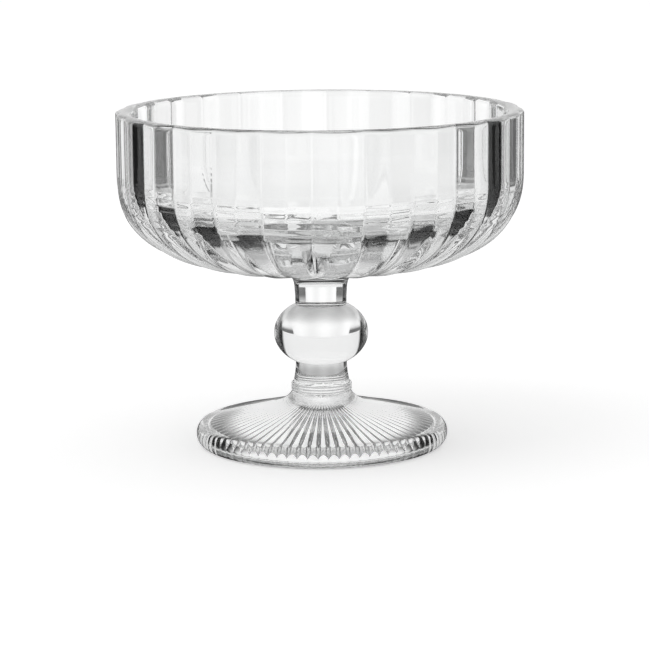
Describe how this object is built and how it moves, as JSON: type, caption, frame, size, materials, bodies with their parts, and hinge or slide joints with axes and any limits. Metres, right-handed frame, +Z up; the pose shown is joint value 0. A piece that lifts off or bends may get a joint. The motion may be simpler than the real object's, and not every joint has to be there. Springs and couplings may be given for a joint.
{
  "type": "dessert cup",
  "caption": "Clear glass dessert cup with a fluted round bowl on a short ball stem and a ribbed, hollow round foot.",
  "frame": {"origin": "centre of the standing ring on the surface that the cup rests on", "axes": "+Z up along the cup's axis, a flute's groove at -Y, a flute's crest at +X"},
  "size_m": [0.12, 0.1192, 0.1],
  "materials": {
    "clear_glass": "fire-polished clear colourless glass"
  },
  "bodies": {
    "root": {"foot": "clear_glass", "foot_collar": "clear_glass", "lower_neck": "clear_glass", "ball_knop": "clear_glass", "upper_neck": "clear_glass", "bowl_collar": "clear_glass", "bowl": "clear_glass"}
  },
  "joints": []
}
